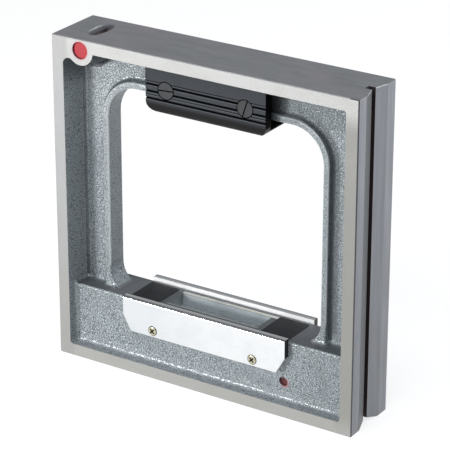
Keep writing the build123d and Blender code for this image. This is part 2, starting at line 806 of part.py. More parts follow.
# Lateral screw with its tip against the tail
lateral_head_back = half_beam - lateral_head_sink - lateral_head_height
with BuildPart() as lateral_screw:
    with BuildSketch(front.offset(lateral_head_back)):
        with Locations((lateral_x, lateral_z)):
            Circle(lateral_head_radius)
    extrude(amount=lateral_head_height)
    with BuildSketch(front.offset(lateral_body_end)):
        with Locations((lateral_x, lateral_z)):
            Circle(lateral_body_radius)
    extrude(amount=lateral_head_back - lateral_body_end)
    with BuildSketch(front.offset(tail_width / 2)):
        with Locations((lateral_x, lateral_z)):
            Circle(lateral_tip_radius)
    extrude(amount=lateral_body_end - tail_width / 2)
    with BuildSketch(front.offset(half_beam - lateral_head_sink - lateral_slot_depth)):
        with Locations((lateral_x, lateral_z)):
            Rectangle(2 * lateral_head_radius, lateral_slot_width)
    extrude(amount=lateral_slot_depth, mode=Mode.SUBTRACT)
lateral_screw.part.label = "lateral_screw"
export_step(lateral_screw.part, "parts/lateral_screw.step")

with BuildPart() as lateral_spring:
    lateral_base = Plane(origin=(lateral_x, tail_width / 2, lateral_z), x_dir=(-1, 0, 0), z_dir=(0, 1, 0))
    lateral_height = lateral_spring_bore_end - tail_width / 2
    add(
        coil_spring(
            lateral_base,
            lateral_height,
            lateral_spring_mean_radius,
            lateral_spring_wire_radius,
            lateral_spring_turns,
        )
    )
lateral_spring.part.label = "lateral_spring"
export_step(lateral_spring.part, "parts/lateral_spring.step")

# Red lacquer over the head of the lateral screw
with BuildPart() as lacquer_seal:
    with BuildSketch(front.offset(half_beam - lateral_head_sink)):
        with Locations((lateral_x, lateral_z)):
            Circle(lateral_hole_radius - running_fit)
    extrude(amount=lacquer_thick)
    fillet(lacquer_seal.faces().sort_by(Axis.Y)[0].edges(), lacquer_thick / 2)
lacquer_seal.part.label = "lacquer_seal"
export_step(lacquer_seal.part, "parts/lacquer_seal.step")

# Cross vial in the boss
cross = Plane(origin=(boss_x, 0, boss_z), x_dir=(1, 0, 0), z_dir=(0, -1, 0))
cross_bore = cross_vial_radius - cross_vial_wall
with BuildPart() as cross_core:
    with BuildSketch(cross.offset(cross_vial_wall - cross_vial_half)):
        Circle(cross_bore)
    extrude(amount=2 * (cross_vial_half - cross_vial_wall))
    fillet(cross_core.edges().filter_by(GeomType.CIRCLE), cross_vial_end_round - cross_vial_wall)
with BuildPart() as cross_vial:
    with BuildSketch(cross.offset(-cross_vial_half)):
        Circle(cross_vial_radius)
    extrude(amount=2 * cross_vial_half)
    fillet(cross_vial.edges().filter_by(GeomType.CIRCLE), cross_vial_end_round)
    add(cross_core.part, mode=Mode.SUBTRACT)
cross_vial.part.label = "cross_vial"
export_step(cross_vial.part, "parts/cross_vial.step")

cross_path_half = cross_bubble_half + cross_bubble_travel + bubble_gap
cross_path_foot = cross_bore - 2 * bubble_gap - cross_bubble_thick
with BuildPart() as cross_spirit:
    with BuildSketch(cross.offset(cross_vial_wall + running_fit - cross_vial_half)):
        Circle(cross_bore - running_fit)
    extrude(amount=2 * (cross_vial_half - cross_vial_wall - running_fit))
    fillet(cross_spirit.edges().filter_by(GeomType.CIRCLE), cross_vial_end_round - cross_vial_wall)
    with BuildSketch(cross.offset(-cross_path_half)):
        with Locations((0, cross_path_foot + cross_bore / 2)):
            Rectangle(2 * cross_bore, cross_bore)
    extrude(amount=2 * cross_path_half, mode=Mode.SUBTRACT)
cross_spirit.part.label = "cross_spirit"
export_step(cross_spirit.part, "parts/cross_spirit.step")

cross_bubble_width = 2 * sqrt(cross_bore**2 - (cross_bore - cross_bubble_thick) ** 2)
with BuildPart() as cross_bubble:
    with BuildSketch(cross.offset(-cross_bubble_half)):
        Circle(cross_bore - bubble_gap)
    extrude(amount=2 * cross_bubble_half)
    with BuildSketch(Plane.XY.offset(boss_z + cross_path_foot + bubble_gap)):
        with Locations((boss_x, 0)):
            SlotOverall(2 * cross_bubble_half, cross_bubble_width, rotation=90)
    extrude(amount=cross_bore, mode=Mode.INTERSECT)
cross_bubble.part.label = "cross_bubble"
export_step(cross_bubble.part, "parts/cross_bubble.step")

# Brass sleeve with a reading slot along its top
with BuildPart() as cross_sleeve:
    with BuildSketch(cross.offset(-cross_sleeve_half)):
        Circle(bore_radius - running_fit)
        Circle(cross_vial_radius + running_fit, mode=Mode.SUBTRACT)
    extrude(amount=2 * cross_sleeve_half)
    with BuildSketch(cross.offset(-cross_sleeve_window_half)):
        with Locations((0, cross_sleeve_window_foot + bore_radius)):
            Rectangle(cross_sleeve_window_width, 2 * bore_radius)
    extrude(amount=2 * cross_sleeve_window_half, mode=Mode.SUBTRACT)
cross_sleeve.part.label = "cross_sleeve"
export_step(cross_sleeve.part, "parts/cross_sleeve.step")

# Red enamelled plugs at both ends of the bore
with BuildPart() as cross_plug_front:
    with BuildSketch(cross.offset(half_depth - plug_sink - plug_thick)):
        Circle(bore_radius - running_fit)
    extrude(amount=plug_thick)
    fillet(cross_plug_front.faces().sort_by(Axis.Y)[0].edges(), plug_edge_round)
cross_plug_front.part.label = "cross_plug_front"
export_step(cross_plug_front.part, "parts/cross_plug_front.step")

with BuildPart() as cross_plug_rear:
    add(mirror(cross_plug_front.part, about=Plane.XZ, mode=Mode.PRIVATE))
cross_plug_rear.part.label = "cross_plug_rear"
export_step(cross_plug_rear.part, "parts/cross_plug_rear.step")

# Half of the grip: outer wall, floor under the rib and a pad round each screw
grip_half = grip_width / 2
grip_profile = rounded_loop(
    [
        (-grip_joint_gap / 2, grip_top, 0),
        (-half_grip, grip_top, 0),
        (-half_grip, grip_bottom, grip_lower_round),
        (-grip_joint_gap / 2, grip_bottom, 0),
    ]
)
grip_front_view = rounded_loop(
    [
        (-grip_half, grip_top, 0),
        (-grip_half, grip_bottom, grip_end_round),
        (grip_half, grip_bottom, grip_end_round),
        (grip_half, grip_top, 0),
    ]
)
grip_cavity = rounded_loop(
    [
        (0, grip_top + overrun, 0),
        (grip_wall - half_grip, grip_top + overrun, 0),
        (grip_wall - half_grip, grip_bottom + grip_floor, grip_inner_round),
        (0, grip_bottom + grip_floor, 0),
    ]
)


# Grip half in front of the web, before its screw holes
def grip_shell():
    with BuildPart() as shell:
        with BuildSketch(Plane.YZ.offset(-grip_half)):
            add(grip_profile)
        extrude(amount=grip_width)
        with BuildSketch(front):
            add(grip_front_view)
        extrude(amount=half_grip, mode=Mode.INTERSECT)
        with BuildSketch(Plane.YZ.offset(-grip_half)):
            add(grip_cavity)
        extrude(amount=grip_width, mode=Mode.SUBTRACT)
        for x in (-grip_screw_x, grip_screw_x):
            with BuildSketch(front.offset(half_web)):
                with Locations((x, (grip_pad_step + grip_pad_top) / 2)):
                    Rectangle(grip_pad_length, grip_pad_top - grip_pad_step)
            extrude(amount=half_grip - grip_wall - half_web)
            with BuildSketch(front.offset(half_rib + running_fit)):
                with Locations((x, (grip_pad_step + grip_pad_foot) / 2)):
                    Rectangle(grip_pad_length, grip_pad_step - grip_pad_foot)
            extrude(amount=half_grip - grip_wall - half_rib - running_fit)
        cuts = [(drop, grip_groove_width, grip_groove_depth) for drop in grip_groove_drops]
        cuts += [(drop, grip_fine_width, grip_fine_depth) for drop in (grip_step_drop, grip_fine_drop)]
        for drop, width, deep in cuts:
            z = grip_top - drop
            with BuildSketch(Plane.YZ.offset(-grip_half)):
                with BuildLine():
                    Polyline(
                        (-half_grip, z + width / 2),
                        (deep - half_grip, z),
                        (-half_grip, z - width / 2),
                        (-half_grip, z + width / 2),
                    )
                make_face()
            extrude(amount=grip_width, mode=Mode.SUBTRACT)
        with BuildSketch(front.offset(half_grip - grip_head_height)):
            with Locations((-grip_screw_x, grip_screw_z), (grip_screw_x, grip_screw_z)):
                Circle(grip_head_radius + grip_head_gap)
        extrude(amount=grip_head_height, mode=Mode.SUBTRACT)
    return shell.part


grip_half_shell = grip_shell()
with BuildPart() as grip_front:
    add(grip_half_shell)
    with BuildSketch(front):
        with Locations((-grip_screw_x, grip_screw_z), (grip_screw_x, grip_screw_z)):
            Circle(grip_shank_radius + loose_fit)
    extrude(amount=half_grip, mode=Mode.SUBTRACT)
grip_front.part.label = "grip_front"
export_step(grip_front.part, "parts/grip_front.step")

with BuildPart() as grip_rear:
    add(grip_half_shell.rotate(Axis.Z, 180))
    with BuildSketch(rear):
        with Locations((-grip_screw_x, grip_screw_z), (grip_screw_x, grip_screw_z)):
            Circle(grip_sleeve_radius + loose_fit)
    extrude(amount=half_grip, mode=Mode.SUBTRACT)
grip_rear.part.label = "grip_rear"
export_step(grip_rear.part, "parts/grip_rear.step")

# Slotted screws through the web and their slotted sleeve nuts
grip_turns = [(-grip_screw_x, grip_slot_turn_left), (grip_screw_x, grip_slot_turn_right)]
with BuildPart() as grip_screws:
    for x, turn in grip_turns:
        with BuildSketch(front.offset(half_grip - grip_head_height)):
            with Locations((x, grip_screw_z)):
                Circle(grip_head_radius)
        extrude(amount=grip_head_height)
        with BuildSketch(front.offset(-grip_shank_end)):
            with Locations((x, grip_screw_z)):
                Circle(grip_shank_radius)
        extrude(amount=grip_shank_end + half_grip - grip_head_height)
        with BuildSketch(front.offset(half_grip - grip_slot_depth)):
            with Locations((x, grip_screw_z)):
                Rectangle(2 * grip_head_radius + grip_slot_width, grip_slot_width, rotation=turn)
        extrude(amount=grip_slot_depth, mode=Mode.SUBTRACT)
grip_screws.part.label = "grip_screws"
export_step(grip_screws.part, "parts/grip_screws.step")

with BuildPart() as grip_nuts:
    for x, turn in grip_turns:
        with BuildSketch(rear.offset(half_grip - grip_head_height)):
            with Locations((x, grip_screw_z)):
                Circle(grip_head_radius)
        extrude(amount=grip_head_height)
        with BuildSketch(rear.offset(grip_sleeve_end)):
            with Locations((x, grip_screw_z)):
                Circle(grip_sleeve_radius)
        extrude(amount=half_grip - grip_head_height - grip_sleeve_end)
        with BuildSketch(rear.offset(grip_sleeve_end)):
            with Locations((x, grip_screw_z)):
                Circle(grip_shank_radius + running_fit)
        extrude(amount=grip_bore_end - grip_sleeve_end, mode=Mode.SUBTRACT)
        with BuildSketch(rear.offset(half_grip - grip_slot_depth)):
            with Locations((x, grip_screw_z)):
                Rectangle(2 * grip_head_radius + grip_slot_width, grip_slot_width, rotation=turn)
        extrude(amount=grip_slot_depth, mode=Mode.SUBTRACT)
grip_nuts.part.label = "grip_nuts"
export_step(grip_nuts.part, "parts/grip_nuts.step")
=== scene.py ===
import math

import bpy
from mathutils import Matrix, Vector

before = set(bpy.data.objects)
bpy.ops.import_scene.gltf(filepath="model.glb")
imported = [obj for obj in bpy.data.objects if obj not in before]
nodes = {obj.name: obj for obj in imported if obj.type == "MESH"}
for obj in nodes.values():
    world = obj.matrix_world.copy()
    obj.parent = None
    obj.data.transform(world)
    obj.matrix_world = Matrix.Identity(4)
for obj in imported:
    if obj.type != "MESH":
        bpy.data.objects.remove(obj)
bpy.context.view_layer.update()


# ---------------------------------------------------------------- node helpers
def new_material(name):
    mat = bpy.data.materials.new(name)
    mat.use_nodes = True
    tree = mat.node_tree
    tree.nodes.clear()
    out = tree.nodes.new("ShaderNodeOutputMaterial")
    bsdf = tree.nodes.new("ShaderNodeBsdfPrincipled")
    tree.links.new(bsdf.outputs[0], out.inputs["Surface"])
    return mat, tree, bsdf, out


class Net:
    """Small helpers that add nodes to one material and return their sockets."""

    def __init__(self, tree):
        self.tree = tree

    def node(self, kind, **settings):
        made = self.tree.nodes.new(kind)
        for key, value in settings.items():
            setattr(made, key, value)
        return made

    def put(self, socket, value):
        if isinstance(value, bpy.types.NodeSocket):
            self.tree.links.new(value, socket)
        else:
            socket.default_value = value

    def math(self, operation, a, b=None, clamp=False, c=None):
        made = self.node("ShaderNodeMath", operation=operation, use_clamp=clamp)
        self.put(made.inputs[0], a)
        if b is not None:
            self.put(made.inputs[1], b)
        if c is not None:
            self.put(made.inputs[2], c)
        return made.outputs[0]

    def place(self, output="Object"):
        coord = self.node("ShaderNodeTexCoord")
        return coord.outputs[output]

    def split(self, vector):
        made = self.node("ShaderNodeSeparateXYZ")
        self.put(made.inputs[0], vector)
        return made.outputs

    def join(self, x, y, z):
        made = self.node("ShaderNodeCombineXYZ")
        for i, v in enumerate((x, y, z)):
            self.put(made.inputs[i], v)
        return made.outputs[0]

    def scaled(self, vector, scale):
        made = self.node("ShaderNodeMapping")
        self.put(made.inputs["Vector"], vector)
        made.inputs["Scale"].default_value = scale
        return made.outputs[0]

    def noise(self, vector, scale, detail=3.0, rough=0.5, distortion=0.0):
        made = self.node("ShaderNodeTexNoise")
        self.put(made.inputs["Vector"], vector)
        made.inputs["Scale"].default_value = scale
        made.inputs["Detail"].default_value = detail
        made.inputs["Roughness"].default_value = rough
        made.inputs["Distortion"].default_value = distortion
        return made.outputs["Fac"]

    def cells(self, vector, scale, feature="SMOOTH_F1", smooth=0.6, randomness=1.0):
        made = self.node("ShaderNodeTexVoronoi", feature=feature)
        self.put(made.inputs["Vector"], vector)
        made.inputs["Scale"].default_value = scale
        made.inputs["Randomness"].default_value = randomness
        if feature == "SMOOTH_F1":
            made.inputs["Smoothness"].default_value = smooth
        return made.outputs["Distance"]

    def ramp(self, value, low, high, out_low=0.0, out_high=1.0, smooth=True):
        made = self.node("ShaderNodeMapRange", interpolation_type="SMOOTHSTEP" if smooth else "LINEAR")
        self.put(made.inputs["Value"], value)
        made.inputs["From Min"].default_value = low
        made.inputs["From Max"].default_value = high
        made.inputs["To Min"].default_value = out_low
        made.inputs["To Max"].default_value = out_high
        return made.outputs["Result"]

    def mix(self, factor, a, b):
        made = self.node("ShaderNodeMix", data_type="RGBA")
        self.put(made.inputs["Factor"], factor)
        self.put(made.inputs[6], a if isinstance(a, bpy.types.NodeSocket) else (*a, 1.0))
        self.put(made.inputs[7], b if isinstance(b, bpy.types.NodeSocket) else (*b, 1.0))
        return made.outputs[2]

    def blend(self, factor, a, b):
        made = self.node("ShaderNodeMix", data_type="FLOAT")
        self.put(made.inputs["Factor"], factor)
        self.put(made.inputs[2], a)
        self.put(made.inputs[3], b)
        return made.outputs[0]

    def bump(self, height, strength, distance, normal=None):
        made = self.node("ShaderNodeBump")
        made.inputs["Strength"].default_value = strength
        made.inputs["Distance"].default_value = distance
        self.put(made.inputs["Height"], height)
        if normal is not None:
            self.put(made.inputs["Normal"], normal)
        return made.outputs[0]


def give(mat, *names):
    for name in names:
        mesh = nodes[name].data
        mesh.materials.clear()
        mesh.materials.append(mat)


# ---------------------------------------------------------------- frame casting
def casting_material():
    mat, tree, bsdf, _ = new_material("cast_frame_look")
    net = Net(tree)
    place = net.place()
    x, y, z = net.split(place)
    ax = net.math("ABSOLUTE", x)
    ay = net.math("ABSOLUTE", y)

    def inside(value, low, high, soft=0.0001):
        return net.math("MULTIPLY", net.ramp(value, low - soft, low + soft), net.ramp(value, high - soft, high + soft, 1.0, 0.0))

    def all_of(first, *rest):
        for other in rest:
            first = net.math("MULTIPLY", first, other)
        return first

    def any_of(first, *rest):
        for other in rest:
            first = net.math("MAXIMUM", first, other)
        return first

    def less(value, share=1.0):
        return net.math("MULTIPLY", value, share)

    facing = net.split(net.place("Normal"))
    lean = net.math("ABSOLUTE", facing[1])
    rise = net.math("ABSOLUTE", facing[2])

    # where the casting is ground: outer faces, rim edges, V-grooves and the reading cut
    uneven = net.math("MULTIPLY", net.math("SUBTRACT", net.noise(place, 900.0, 2.0), 0.5), 0.00025)
    rim = net.ramp(net.math("ADD", ay, uneven), 0.01975, 0.01992)
    left_right = net.ramp(ax, 0.0992, 0.0994)
    base = net.ramp(z, 0.0006, 0.0008, 1.0, 0.0)
    top = net.ramp(z, 0.1992, 0.1994)
    in_width = net.ramp(ay, 0.0116, 0.0118, 1.0, 0.0)
    side_vee = all_of(in_width, net.ramp(x, 0.0960, 0.0962), net.math("SUBTRACT", 1.0, any_of(top, base)))
    base_vee = all_of(in_width, net.ramp(z, 0.0038, 0.0040, 1.0, 0.0), net.math("SUBTRACT", 1.0, left_right))
    from_boss = net.math("ABSOLUTE", net.math("ADD", x, 0.0804))
    dish = all_of(net.ramp(from_boss, 0.0060, 0.0062, 1.0, 0.0), net.ramp(z, 0.1972, 0.1974))
    ground = any_of(rim, left_right, base, top, side_vee, base_vee, dish)
    slot_width = net.ramp(ay, 0.00205, 0.00212, 1.0, 0.0)
    side_slot = all_of(slot_width, net.ramp(x, 0.0930, 0.0935))
    base_slot = all_of(slot_width, net.ramp(z, 0.0062, 0.0066, 1.0, 0.0))
    slot = any_of(side_slot, base_slot)
    vee = all_of(any_of(side_vee, base_vee), net.math("SUBTRACT", 1.0, any_of(rim, slot)))

    # ground metal: fine lines along each face, broad bands and a little old oil, with painted shade on the side
    # faces, the V-groove flanks and some edges
    side_lines = net.noise(net.scaled(place, (1.0, 1.0, 0.012)), 2600.0, 2.0, 0.6)
    top_lines = net.noise(net.scaled(place, (0.012, 1.0, 1.0)), 2600.0, 2.0, 0.6)
    on_top = any_of(top, base)
    lines = net.blend(on_top, side_lines, top_lines)
    broad_side = net.noise(net.scaled(place, (1.0, 1.0, 0.08)), 260.0, 3.0, 0.55)
    broad_top = net.noise(net.scaled(place, (0.25, 1.0, 1.0)), 160.0, 4.0, 0.6)
    broad = net.blend(on_top, broad_side, broad_top)
    stain = net.noise(place, 34.0, 4.0, 0.6)
    speck = net.noise(place, 1300.0, 3.0, 0.7)
    metal = net.mix(net.ramp(lines, 0.3, 0.7), (0.235, 0.245, 0.270), (0.325, 0.335, 0.365))
    metal = net.mix(less(net.ramp(broad, 0.35, 0.75), 0.6), metal, (0.205, 0.220, 0.240))
    metal = net.mix(less(net.ramp(stain, 0.5, 0.8), 0.35), metal, (0.26, 0.25, 0.235))
    # painted light and shade: the side faces take a darker copy of the ground metal than the top and bottom faces
    upper = net.mix(net.ramp(lines, 0.3, 0.7), (0.44, 0.45, 0.47), (0.60, 0.61, 0.63))
    upper = net.mix(less(net.ramp(broad, 0.35, 0.75), 0.6), upper, (0.40, 0.405, 0.42))
    upper = net.mix(less(net.ramp(stain, 0.45, 0.70), 0.6), upper, (0.60, 0.555, 0.60))
    metal = net.mix(on_top, metal, upper)
    # painted shade: the front flanks of the V-grooves are much darker, the rear flanks a little darker
    rear_flank = net.ramp(y, -0.0005, 0.0005)
    metal = net.mix(less(all_of(vee, net.math("SUBTRACT", 1.0, rear_flank)), 0.9), metal, (0.115, 0.121, 0.130))
    metal = net.mix(less(all_of(vee, rear_flank), 0.2), metal, (0.17, 0.175, 0.185))
    # painted shade: a dark line along the front edge of the right side
    corner_line = all_of(inside(y, -0.0199, -0.0190), net.ramp(x, 0.0990, 0.0994))
    metal = net.mix(less(corner_line, 0.9), metal, (0.040, 0.043, 0.050))
    below_top = net.ramp(z, 0.19970, 0.19985, 1.0, 0.0)
    metal = net.mix(less(all_of(dish, below_top), 0.28), metal, (0.15, 0.15, 0.165))
    low_side = all_of(net.ramp(x, 0.0850, 0.0900), net.ramp(z, 0.0300, 0.1600, 1.0, 0.0))
    metal = net.mix(less(low_side, 0.20), metal, (0.120, 0.128, 0.128))

    # the ground front edges take painted shade: darker on the left, much darker on the right and darker towards the
    # bottom, over their own speckle and stain
    rim_tone_and_shade = net.mix(net.ramp(speck, 0.35, 0.65), (0.405, 0.412, 0.408), (0.475, 0.480, 0.475))
    left_rim_shade = net.ramp(x, -0.0910, -0.0880, 1.0, 0.0)
    rim_tone_and_shade = net.mix(less(left_rim_shade, 0.9), rim_tone_and_shade, (0.355, 0.360, 0.366))
    right_rim_shade = all_of(net.ramp(x, 0.0860, 0.0915), net.ramp(z, 0.180, 0.194, 1.0, 0.0), net.ramp(z, 0.0, 0.014))
    rim_tone_and_shade = net.mix(less(right_rim_shade, 0.95), rim_tone_and_shade, (0.252, 0.252, 0.242))
    rim_tone_and_shade = net.mix(less(net.ramp(z, 0.015, 0.120, 1.0, 0.0), 0.50), rim_tone_and_shade, (0.305, 0.302, 0.280))
    rim_tone_and_shade = net.mix(less(net.ramp(stain, 0.45, 0.75), 0.30), rim_tone_and_shade, (0.33, 0.325, 0.30))
    from_plug = net.node("ShaderNodeVectorMath", operation="DISTANCE")
    net.put(from_plug.inputs[0], net.join(x, 0.0, z))
    from_plug.inputs[1].default_value = (-0.0804, 0.0, 0.1934)
    rim_tone_and_shade = net.mix(less(net.ramp(from_plug.outputs["Value"], 0.0052, 0.0064, 1.0, 0.0), 0.45), rim_tone_and_shade, (0.50, 0.20, 0.22))
    metal = net.mix(rim, metal, rim_tone_and_shade)
    # painted shade: the chamfers along the top right edges are darkened
    broken_edge = all_of(inside(rise, 0.20, 0.96, 0.02), net.ramp(z, 0.1990, 0.1993), net.ramp(x, 0.0940, 0.0950))
    metal = net.mix(less(broken_edge, 0.85), metal, (0.060, 0.062, 0.070))
    metal_rough = net.blend(rim, net.ramp(lines, 0.2, 0.8, 0.36, 0.50), 0.56)

    # hammered paint: small light domes between thin dark seams, with glossy specks
    warp = net.noise(place, 520.0, 2.0, 0.5)
    shift = net.math("MULTIPLY", net.math("SUBTRACT", warp, 0.5), 0.0026)
    moved = net.node("ShaderNodeVectorMath", operation="ADD")
    net.put(moved.inputs[0], place)
    net.put(moved.inputs[1], net.join(shift, shift, net.math("MULTIPLY", shift, -1.0)))
    seam_far = net.cells(moved.outputs[0], 640.0, "DISTANCE_TO_EDGE")
    domes = net.ramp(seam_far, 0.0, 0.16)
    fine = net.noise(place, 2100.0, 3.0, 0.7)
    patch = net.noise(place, 60.0, 3.0, 0.55)
    height = net.math("ADD", less(domes, 0.8), less(fine, 0.4))
    light_tone = net.mix(net.ramp(fine, 0.35, 0.65), (0.225, 0.262, 0.284), (0.500, 0.548, 0.576))
    paint = net.mix(net.ramp(seam_far, 0.005, 0.10), (0.058, 0.072, 0.084), light_tone)
    paint = net.mix(less(net.ramp(patch, 0.35, 0.7), 0.30), paint, (0.20, 0.225, 0.24))
    # painted light: the paint is lighter along the bottom, on the left inner wall and on the upper left web, with
    # its seams darkened again there
    painted_light_patches = any_of(
        net.ramp(z, 0.0130, 0.0145, 1.0, 0.0),
        net.ramp(x, -0.0905, -0.0890, 1.0, 0.0),
        all_of(net.ramp(x, -0.0700, -0.0600, 1.0, 0.0), net.ramp(z, 0.120, 0.160)),
    )
    paint = net.mix(less(painted_light_patches, 0.22), paint, (0.62, 0.66, 0.69))
    light_patch_seams = all_of(painted_light_patches, net.ramp(seam_far, 0.01, 0.09, 1.0, 0.0))
    paint = net.mix(less(light_patch_seams, 0.60), paint, (0.066, 0.080, 0.092))
    across = net.math("MAXIMUM", net.math("SUBTRACT", ax, 0.0513), 0.0)
    above = net.math("MAXIMUM", net.math("SUBTRACT", z, 0.1518), 0.0)
    out_from_arch = net.math("SQRT", net.math("ADD", net.math("MULTIPLY", across, across), net.math("MULTIPLY", above, above)))
    # painted shade on the left wall of the window
    window_wall = all_of(
        net.ramp(out_from_arch, 0.0204, 0.0208, 1.0, 0.0),
        net.ramp(x, -0.0600, -0.0560, 1.0, 0.0),
        net.ramp(ay, 0.0064, 0.0070, 1.0, 0.0),
        net.ramp(z, 0.0480, 0.0640),
    )
    paint = net.mix(less(window_wall, 0.42), paint, (0.052, 0.060, 0.068))

    # painted shade: the beam tops and the vial pocket are darker, the tops between the ribs a lighter shade; the
    # beam tops are also smoother
    beam_top = all_of(net.ramp(z, 0.04490, 0.04497), net.ramp(z, 0.0458, 0.0462, 1.0, 0.0), net.ramp(ay, 0.0135, 0.0139, 1.0, 0.0))
    paint = net.mix(less(beam_top, 0.72), paint, (0.070, 0.076, 0.084))
    between = all_of(beam_top, net.ramp(ax, 0.0680, 0.0720, 1.0, 0.0))
    paint = net.mix(less(between, 0.80), paint, (0.180, 0.192, 0.206))
    recess = all_of(net.ramp(ay, 0.01135, 0.01145, 1.0, 0.0), net.ramp(ax, 0.0545, 0.0546, 1.0, 0.0), inside(z, 0.0100, 0.0449))
    paint = net.mix(less(recess, 0.9), paint, (0.030, 0.032, 0.035))

    # painted shade in the roots of the walls and rib and a painted highlight on the crest
    root = all_of(inside(ay, 0.0032, 0.0046, 0.0003), net.ramp(lean, 0.10, 0.30), net.ramp(z, 0.0470, 0.0480))
    paint = net.mix(less(root, 0.72), paint, (0.034, 0.040, 0.047))
    rib_shade = all_of(
        net.ramp(out_from_arch, 0.0232, 0.0244),
        net.ramp(out_from_arch, 0.0272, 0.0300, 1.0, 0.0),
        net.ramp(x, 0.0480, 0.0720),
        net.ramp(ay, 0.0064, 0.0069, 1.0, 0.0),
        net.ramp(z, 0.0470, 0.0560),
    )
    paint = net.mix(less(rib_shade, 0.62), paint, (0.040, 0.048, 0.055))
    crest = all_of(inside(ay, 0.0057, 0.0069, 0.0002), inside(lean, 0.25, 0.97, 0.03), net.ramp(ax, 0.0765, 0.0775, 1.0, 0.0), net.ramp(z, 0.0560, 0.0600))
    paint = net.mix(less(crest, 0.62), paint, (0.80, 0.84, 0.87))
    # painted shadow on the web and rib beside the grip's right end
    beside_grip = all_of(net.ramp(x, 0.0390, 0.0475, 1.0, 0.0), net.ramp(x, 0.0300, 0.0310), net.ramp(z, 0.1600, 0.1610), net.ramp(lean, 0.1, 0.3))
    paint = net.mix(less(beside_grip, 0.85), paint, (0.020, 0.022, 0.025))
    # painted shadow below the boss and painted shade on its flank
    below_boss = net.node("ShaderNodeVectorMath", operation="DISTANCE")
    net.put(below_boss.inputs[0], net.join(x, 0.0, z))
    below_boss.inputs[1].default_value = (-0.0823, 0.0, 0.1885)
    boss_shade = all_of(
        net.ramp(below_boss.outputs["Value"], 0.0096, 0.0106, 1.0, 0.0),
        net.ramp(x, -0.0900, -0.0880),
        net.ramp(ay, 0.0050, 0.0060, 1.0, 0.0),
    )
    boss_flank = all_of(
        net.ramp(from_plug.outputs["Value"], 0.0122, 0.0136, 1.0, 0.0),
        net.ramp(ay, 0.0190, 0.0196, 1.0, 0.0),
    )
    paint = net.mix(less(any_of(boss_shade, boss_flank), 0.80), paint, (0.026, 0.030, 0.036))
    # painted shade at the head of the left inner wall
    wall_head = all_of(net.ramp(x, -0.0898, -0.0885, 1.0, 0.0), net.ramp(z, 0.1620, 0.1850))
    paint = net.mix(less(wall_head, 0.72), paint, (0.036, 0.042, 0.050))
    # painted shade over the upper right and the right part of the web
    top_right = all_of(net.ramp(x, 0.0400, 0.0480), net.ramp(z, 0.1700, 0.1760))
    paint = net.mix(less(top_right, 0.42), paint, (0.110, 0.125, 0.138))
    paint = net.mix(less(net.ramp(x, 0.0400, 0.0780), 0.20), paint, (0.110, 0.125, 0.138))

    # red lacquer that has run a little below the sealed hole
    from_hole = net.node("ShaderNodeVectorMath", operation="DISTANCE")
    net.put(from_hole.inputs[0], place)
    from_hole.inputs[1].default_value = (0.0528, -0.0140, 0.0188)
    ragged = net.math("ADD", from_hole.outputs["Value"], net.math("MULTIPLY", net.math("SUBTRACT", net.noise(place, 700.0, 2.0), 0.5), 0.0022))
    paint = net.mix(less(net.ramp(ragged, 0.0026, 0.0036, 1.0, 0.0), 0.55), paint, (0.46, 0.16, 0.18))
    paint = net.mix(less(net.ramp(ragged, 0.0020, 0.0027, 1.0, 0.0), 0.9), paint, (0.10, 0.012, 0.018))

    colour = net.mix(ground, paint, metal)
    colour = net.mix(slot, colour, (0.018, 0.008, 0.009))
    smooth_foot = all_of(inside(z, 0.0449, 0.0600, 0.001), net.ramp(ay, 0.0066, 0.0070, 1.0, 0.0))
    dull_end = all_of(inside(x, 0.0300, 0.0560, 0.002), net.ramp(z, 0.1600, 0.1640))
    paint_rough = net.blend(any_of(beam_top, smooth_foot, dull_end), net.ramp(fine, 0.3, 0.7, 0.28, 0.44), 0.60)
    rough = net.blend(ground, paint_rough, metal_rough)
    net.put(bsdf.inputs["Base Color"], colour)
    net.put(bsdf.inputs["Roughness"], net.blend(slot, rough, 0.7))
    net.put(bsdf.inputs["Metallic"], net.blend(slot, net.blend(ground, 0.35, net.blend(rim, 1.0, 0.38)), 0.0))

    flatter = net.math("SUBTRACT", 1.0, net.math("MAXIMUM", ground, less(beam_top, 0.7)))
    first = net.bump(net.math("MULTIPLY", height, flatter), 0.62, 0.00022)
    net.put(bsdf.inputs["Normal"], net.bump(net.math("MULTIPLY", lines, ground), 0.12, 0.00004, first))
    return mat


